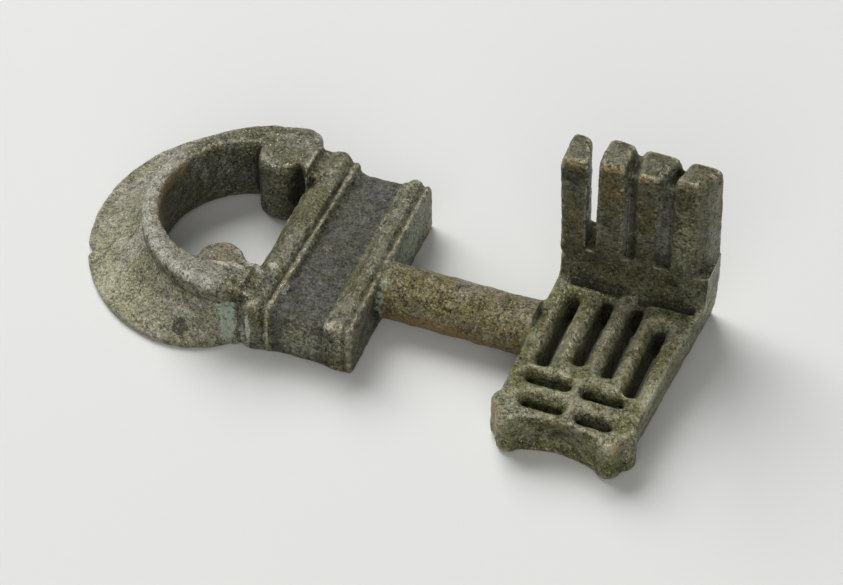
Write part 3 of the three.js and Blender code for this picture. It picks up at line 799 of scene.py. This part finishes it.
def cellWall(nodeName, sliceHeight):
    # a solid block with the outline that a node has at one height
    slab = nodeForm(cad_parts[nodeName])
    cut = bmesh.ops.bisect_plane(
        slab, geom=slab.verts[:] + slab.edges[:] + slab.faces[:],
        plane_co=(0, 0, sliceHeight), plane_no=(0, 0, 1), clear_inner=True, clear_outer=True,
    )
    edges = [g for g in cut["geom_cut"] if isinstance(g, bmesh.types.BMEdge)]
    beside = {}
    for edge in edges:
        for a, b in (edge.verts, reversed(edge.verts)):
            beside.setdefault(a, []).append(b)
    loops = []
    left = set(beside)
    while left:
        loop = [left.pop()]
        while True:
            onward = [v for v in beside[loop[-1]] if v in left]
            if not onward:
                break
            loop.append(onward[0])
            left.discard(onward[0])
        loops.append([v.co.xy.copy() for v in loop])
    slab.free()
    outline = max(loops, key=lambda loop: max(p.x for p in loop) - min(p.x for p in loop))
    outline = [outline[i] for i in convex_hull_2d(outline)]
    wall = bmesh.new()
    face = wall.faces.new([wall.verts.new((p.x, p.y, -far)) for p in outline])
    raised = bmesh.ops.extrude_face_region(wall, geom=[face])
    for g in raised["geom"]:
        if isinstance(g, bmesh.types.BMVert):
            g.co.z = far
    bmesh.ops.triangulate(wall, faces=wall.faces[:])
    bmesh.ops.recalc_face_normals(wall, faces=wall.faces[:])
    return placeObject("cell", formMesh("cell", wall))


def trimmed(source, name, cell, operation="INTERSECT"):
    piece = placeObject(name, source.data.copy())
    addModifier(piece, "BOOLEAN", object=cell, operation=operation, solver="MANIFOLD")
    bakeModifiers(piece)
    piece.data.name = name
    return piece


def dropObject(obj):
    mesh = obj.data
    bpy.data.objects.remove(obj)
    bpy.data.meshes.remove(mesh)


def cutOff(rest, name, cell):
    # takes the part of the rest that lies in the cell away as a piece
    piece = trimmed(rest, name, cell)
    less = trimmed(rest, rest.name, cell, "DIFFERENCE")
    rest.data = less.data
    bpy.data.objects.remove(less)
    dropObject(cell)
    return piece


def cutCastBody(rest, size):
    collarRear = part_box("collar_rear_moulding")
    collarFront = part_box("collar_front_moulding")
    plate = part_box("bit_plate")
    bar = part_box("tooth_bar")
    seam = size["seam"]
    pieces = {}

    def take(name, cell):
        pieces[name] = cutOff(rest, name, cell)

    # the bow comes off the collar first
    lowBow = block(right=collarRear[0][0] - seam, top=collarFront[1][2] - seam)
    highBow = block(right=collarRear[0][0] + seam, bottom=collarFront[1][2] - seam)
    bow = cutOff(rest, "castRim", trimmed(lowBow, "cell", highBow, "UNION"))
    take("castRearMoulding", slantedBlock(size["ribFront"], size["ribLean"]))
    take("castPanel", block(right=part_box("collar_panel")[1][0]))
    take("castFrontMoulding", block(right=collarFront[1][0] + seam))
    # in the bow, the skirt lies round the wall and under the lip
    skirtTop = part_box("bow_skirt")[1][2] + size["skirtSeam"]
    wall = cellWall("bow_rim", size["wallHeight"])
    low = block(top=skirtTop)
    lip = block(bottom=skirtTop)
    outside = trimmed(bow, "castSkirt", wall, "DIFFERENCE")
    pieces["castSkirt"] = trimmed(outside, "castSkirt", low)
    wallCell = trimmed(wall, "cell", low)
    rimCell = trimmed(wallCell, "cell", lip, "UNION")
    pieces["castRim"] = trimmed(bow, "castRim", rimCell)
    for spent in (lowBow, highBow, low, lip, wall, wallCell, rimCell, bow, outside):
        dropObject(spent)
    # the bit: teeth over the bar, the bar over the plate, and a knob at each front corner
    crowns = cutOff(rest, "castTeeth", block(bottom=bar[1][2]))
    for number in (1, 2, 3):
        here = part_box("tooth_%d" % number)[1][0]
        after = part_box("tooth_%d" % (number + 1))[0][0]
        name = "castTooth%d" % number
        pieces[name] = cutOff(crowns, name, block(right=(here + after) / 2))
    pieces["castTooth4"] = crowns
    take("castBar", block(left=plate[0][0], front=bar[0][1] - size["barSeam"], bottom=plate[1][2]))
    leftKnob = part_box("bit_corner_left")[1]
    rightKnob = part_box("bit_corner_right")[0]
    knobBack = leftKnob[1] - size["knobBackSeam"]
    take("castKnobLeft", block(left=0, right=leftKnob[0] - size["knobSideSeam"], back=knobBack))
    take("castKnobRight", block(left=rightKnob[0] + size["knobSideSeam"], back=knobBack))
    take("castShank", block(left=0, right=plate[0][0]))
    pieces["castPlate"] = rest
    return pieces


def dropCrumbs(piece, smallest):
    # a cut along a lumpy face leaves loose crumbs
    form = bmesh.new()
    form.from_mesh(piece.data)
    left = set(form.verts)
    while left:
        island = [left.pop()]
        for corner in island:
            for edge in corner.link_edges:
                other = edge.other_vert(corner)
                if other in left:
                    left.discard(other)
                    island.append(other)
        if len(island) < smallest:
            bmesh.ops.delete(form, geom=island, context="VERTS")
    form.to_mesh(piece.data)
    form.free()


castPieces = cutCastBody(body, cuts)
for name, piece in castPieces.items():
    dropCrumbs(piece, cuts["crumb"])
    piece.name = name
    print("piece", name, len(piece.data.polygons), "faces")


# tones and spots where the key has them, and painted light and shade besides: middle, reach along x, y and
# z, strength

def arcSpots(centre, radius, height, angles, reach, strength):
    spots = []
    for angle in angles:
        a = math.radians(angle)
        place = (centre[0] + radius * math.cos(a), centre[1] + radius * math.sin(a), height)
        spots.append((place, reach, strength))
    return spots


rimMiddle = (-8.9, 0.6)
openingMiddle = (-11.1, 0.6)
paintFade = 1.5  # a spot is full up to half its reach and gone at this many times it
paintLayers = {
    "greyAndPaintedLight": [  # light warm grey: rubbed skin, with painted highlights, a painted reflection and painted light in shaded flanks
        ((-10, -10, 8.8), (4, 3, 1.6), 0.55),
        ((-5.0, -4, 7.2), (1.0, 6, 1.0), 0.5),
        ((5.0, -8, 7.0), (1.0, 5, 1.0), 0.45),
        ((33, 8.5, 17), (9, 1.8, 6), 0.35),
        # painted reflection on the fourth tooth's right side
        ((41.8, 9, 15), (0.8, 3.5, 9), 0.6),
        ((26, 8.6, 22), (1.6, 2.6, 1.2), 0.5),
        ((30.2, 8.6, 23), (1.6, 2.6, 1.0), 0.5),
        # rubbed rim top with painted highlights on it
        *arcSpots(rimMiddle, 12.6, 8.7, range(165, 270, 12), (2.4, 2.4, 1.6), 0.75),
        # painted light in the shaded flanks between teeth 2, 3 and 4
        ((36.6, 7.4, 14.5), (1.5, 1.4, 6.0), 0.95),
        ((32.1, 7.4, 15.0), (0.9, 1.4, 6.5), 0.9),
    ],
    "pale": [  # dusty yellow-green
        ((-24.0, -10.5, 2), (3.5, 4.0, 2.5), 0.8),
        ((-26.5, -4, 2), (4.0, 7, 2.5), 0.6),
        ((-13, -14, 2), (6, 2.5, 2.5), 0.6),
        ((-19, -13, 2), (4, 3, 2.5), 0.7),
        ((0.6, -12.8, 3), (3.0, 0.9, 3.2), 0.75),
        ((33, -17, 3), (6, 1.4, 3), 0.4),
        ((40.6, -9, 5.4), (1.5, 2.6, 1.5), 1.0),
        ((41.2, -4, 5), (1.0, 6, 1.5), 0.6),
        ((40.8, -13.5, 4), (1.0, 2.5, 2.5), 0.6),
        ((39.1, 6.4, 14.5), (1.5, 0.8, 5.5), 0.7),
        ((26.5, -15, 5.4), (2.4, 2.6, 1.2), 0.6),
        ((33, -10, 5.6), (6, 3.5, 0.6), 0.5),
        ((28.5, 0, 5.4), (2.5, 6, 0.8), 0.4),
        ((-6, 9, 7), (2, 4, 1.6), 0.6),
        ((-3.5, -5, 7), (1.5, 6, 1.2), 0.4),
        ((6.6, 8, 3), (0.8, 5, 4), 0.5),
    ],
    "gold": [  # golden brown
        ((14, -5.0, 2.2), (9, 1.2, 2.2), 0.85),
        ((22, -4.6, 2.0), (4, 1.5, 2.0), 0.7),
        ((25.5, -16.6, 3.6), (1.4, 1.6, 2.6), 0.8),
        ((39.2, -17.2, 4.2), (1.2, 1.0, 2.0), 0.7),
        ((-10.5, -7.5, 8.7), (3.2, 2.2, 1.0), 0.6),
        ((4.4, -11, 6.8), (1.2, 3.5, 1.2), 0.5),
        ((30.7, 6.4, 19), (1.4, 0.7, 3.0), 0.6),
        ((34.5, 6.4, 17), (1.2, 0.7, 5.0), 0.45),
        *arcSpots(openingMiddle, 10.4, 7.6, range(160, 222, 8), (0.9, 0.9, 1.1), 1.0),
    ],
    "depositAndHighlight": [  # whitish crust in cracks and pores, and a painted highlight along the rim's outer edge
        ((-10.2, -9.5, 8.7), (1.3, 0.35, 0.6), 0.85),
        ((-8.4, -9.0, 8.6), (1.4, 0.35, 0.7), 0.9),
        ((-6.6, -8.0, 8.0), (1.3, 0.5, 1.0), 0.95),
        ((-5.2, -6.4, 7.4), (1.0, 0.6, 0.8), 0.85),
        ((-5.6, -13.0, 3.4), (0.4, 0.8, 3.0), 0.95),
        ((-6.4, -12.8, 2.0), (0.5, 0.8, 1.6), 0.8),
        ((-3.6, -13.2, 2.6), (0.5, 0.5, 2.2), 0.7),
        ((-2.9, -8.6, 6.3), (0.5, 1.6, 0.6), 0.8),
        ((-0.8, -0.8, 6.1), (0.8, 1.2, 0.4), 0.5),
        ((3.9, -12.4, 6.6), (1.0, 0.8, 0.7), 0.8),
        ((-8.3, -12.8, 2.6), (0.4, 1.2, 2.6), 0.5),
        ((-19.6, 4.6, 5.4), (0.6, 0.7, 3.0), 0.62),
        ((-18.9, 6.4, 5.0), (0.6, 0.6, 3.0), 0.62),
        ((-17.4, 8.2, 5.6), (1.2, 0.6, 1.8), 0.6),
        # painted highlight along the rim's outer near edge
        *arcSpots(rimMiddle, 13.5, 8.4, range(172, 266, 9), (1.2, 1.2, 0.8), 0.72),
    ],
    "verdigris": [  # pale blue-green
        ((-8.3, -12.4, 3.0), (1.05, 1.9, 3.9), 1.0),
        ((6.9, 4.5, 3.4), (0.7, 6.0, 3.0), 0.75),
        ((7.2, -4.2, 4.5), (0.8, 2.2, 2.6), 0.7),
        ((24.2, -4.0, 4.4), (1.0, 2.0, 2.2), 0.5),
        ((36.4, 7.2, 14.0), (1.4, 1.0, 5.5), 0.35),
        ((32.0, 7.2, 14.0), (0.8, 1.0, 6.5), 0.35),
    ],
    "bareMetal": [
        ((26.0, 6.6, 21.9), (1.6, 0.7, 0.35), 0.8),
        ((30.2, 6.6, 22.4), (1.5, 0.7, 0.5), 0.75),
        ((34.0, 6.6, 22.3), (1.3, 0.7, 0.5), 0.75),
        ((39.0, 6.7, 22.5), (1.8, 0.8, 0.4), 0.75),
        ((4.3, -12.5, 6.6), (0.7, 0.6, 0.5), 0.6),
        ((-13.6, -13.2, 6.7), (3.4, 0.5, 0.5), 0.7),
        ((39.4, -17.4, 4.8), (0.5, 0.5, 0.6), 0.7),
        ((25.6, -17.2, 5.0), (0.6, 0.5, 0.8), 0.7),
    ],
    # dark tone: a real dark spot on the skirt, and painted shade on the bow's far side, in recesses and
    # trenches and on faces turned from the lamps
    "dirtAndShade": [
        ((-13.3, -14.5, 2.0), (1.1, 1.1, 1.2), 1.0),
        # painted shade on the bow's far side
        ((-23, 11, 4), (7, 6, 3), 0.7),
        ((-24.5, 6.5, 3.5), (4, 4.5, 3), 0.52),
        ((-12, 14.5, 8), (8, 2.6, 3), 0.5),
        ((-10, 10, 8.6), (4, 3, 1.5), 0.4),
        # painted shade on the plate's right side
        ((41.9, -5, 2.0), (0.6, 9, 2.4), 0.62),
        ((42.0, -15, 2.6), (1.6, 1.6, 2.4), 0.62),
        # painted shade on the collar's end face
        ((6.9, -5, 3), (0.6, 7, 3.4), 0.7),
        # dark cove at the panel's edge: dirt with painted shade
        ((-2.4, 2, 6.4), (0.5, 13, 0.7), 0.75),
        # painted shade in the opening's far wall and in the recess beside the far cusp
        ((-13.0, 9.5, 4.5), (2.4, 2.2, 5.0), 0.7),
        ((-8.4, 8.6, 5.0), (1.2, 1.6, 4.0), 0.8),
        ((26.0, 6.4, 20.0), (1.8, 0.7, 1.2), 0.95),
        # painted shadow in the trenches at the bar's foot
        ((29.5, 5.4, 5.8), (3.5, 0.7, 0.6), 0.9),
        ((37.7, 5.4, 5.8), (3.5, 0.7, 0.6), 0.9),
    ],
}


def paintLayersOn(piece):
    places = pointsOf(piece)
    for kind, spots in paintLayers.items():
        values = np.zeros(len(places))
        for middle, reach, strength in spots:
            spot = softStep(paintFade - awayFrom(places, middle, reach))
            values = np.maximum(values, strength * spot)
        layer = piece.data.attributes.new(kind, "FLOAT", "POINT")
        layer.data.foreach_set("value", values.astype(np.float32))


for piece in castPieces.values():
    paintLayersOn(piece)
print("tones painted")


# piece, the frame's node that it stands for, its finish

castForms = [
    ("castRim", "bow_rim", "rim_bronze"),
    ("castSkirt", "bow_skirt", "skirt_bronze"),
    ("castRearMoulding", "collar_rear_moulding", "collar_bronze"),
    ("castPanel", "collar_panel", "panel_bronze"),
    ("castFrontMoulding", "collar_front_moulding", "collar_bronze"),
    ("castShank", "shank", "shank_bronze"),
    ("castPlate", "bit_plate", "bit_bronze"),
    ("castKnobLeft", "bit_corner_left", "bit_bronze"),
    ("castKnobRight", "bit_corner_right", "bit_bronze"),
    ("castBar", "tooth_bar", "tooth_bronze"),
    ("castTooth1", "tooth_1", "tooth_bronze"),
    ("castTooth2", "tooth_2", "tooth_bronze"),
    ("castTooth3", "tooth_3", "tooth_bronze"),
    ("castTooth4", "tooth_4", "tooth_bronze"),
]

for name, node, finish in castForms:
    piece = castPieces[name]
    piece.data.materials.clear()
    piece.data.materials.append(bronzes[finish])
    piece.data.shade_smooth()
    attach(piece, "root")
    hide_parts(node)
print("bronze on", len(castForms), "pieces")


# pale floor, a large soft lamp from the upper left behind, a weak one from the front

studio = {
    "floorReach": 3.0,
    "floorColour": srgb(233, 233, 231),
    "cloudColour": srgb(232, 232, 230),
    "floorRoughness": 0.95,
    "fill": 0.15,
    "lamps": [  # metres across, metres away, direction on the floor, degrees up, watts
        {"side": 1.05, "away": 1.4, "towards": (-0.77, 0.64), "height": 47, "power": 21.0},
        {"side": 0.8, "away": 0.9, "towards": (0.25, -0.97), "height": 27, "power": 3.3},
    ],
}


def makeFloor(size):
    reach = size["floorReach"]
    corners = [(-reach, -reach, 0), (reach, -reach, 0), (reach, reach, 0), (-reach, reach, 0)]
    mesh = bpy.data.meshes.new("floor")
    mesh.from_pydata(corners, [], [(0, 1, 2, 3)])
    floor = placeObject("floor", mesh)
    paper = bpy.data.materials.new("palePaper")
    paper.use_nodes = True
    tree = paper.node_tree
    sheet = tree.nodes["Principled BSDF"]
    sheet.inputs["Roughness"].default_value = size["floorRoughness"]
    sheet.inputs["Specular IOR Level"].default_value = 0.0
    cloud = ramp(tree, objectNoise(tree, "floor"), *spans["floor"])
    pale = mixColour(tree, cloud, size["floorColour"], size["cloudColour"])
    tree.links.new(pale, sheet.inputs["Base Color"])
    mesh.materials.append(paper)


def makeSurroundings(size):
    # the camera and every reflection see a wall of the floor's colour, and the fill stays weak
    world = bpy.data.worlds.new("studio")
    bpy.context.scene.world = world
    world.use_nodes = True
    tree = world.node_tree
    tree.nodes.clear()
    rays = addNode(tree, "ShaderNodeLightPath").outputs
    direct = mathNode(tree, "MAXIMUM", rays["Is Camera Ray"], rays["Is Transmission Ray"])
    direct = mathNode(tree, "MAXIMUM", direct, rays["Is Glossy Ray"])
    air = addNode(tree, "ShaderNodeBackground", {"Color": (1, 1, 1, 1), "Strength": size["fill"]})
    wall = addNode(tree, "ShaderNodeBackground", {"Color": size["floorColour"], "Strength": 1.0})
    blend = addNode(tree, "ShaderNodeMixShader", {0: direct, 1: air.outputs[0], 2: wall.outputs[0]})
    end = tree.nodes.new("ShaderNodeOutputWorld")
    tree.links.new(blend.outputs[0], end.inputs[0])


def makeLamp(name, light):
    lamp = placeObject(name, bpy.data.lights.new(name, "AREA"))
    lamp.data.shape = "SQUARE"
    lamp.data.size = light["side"]
    lamp.data.energy = light["power"]
    height = math.radians(light["height"])
    x, y = light["towards"]
    towards = Vector((x * math.cos(height), y * math.cos(height), math.sin(height))).normalized()
    lamp.location = towards * light["away"]
    lamp.rotation_mode = "QUATERNION"
    lamp.rotation_quaternion = towards.to_track_quat("Z", "Y")


makeFloor(studio)
makeSurroundings(studio)
for number, light in enumerate(studio["lamps"]):
    makeLamp("softbox%d" % number, light)
bpy.context.scene.view_settings.view_transform = "Standard"
print("studio built")
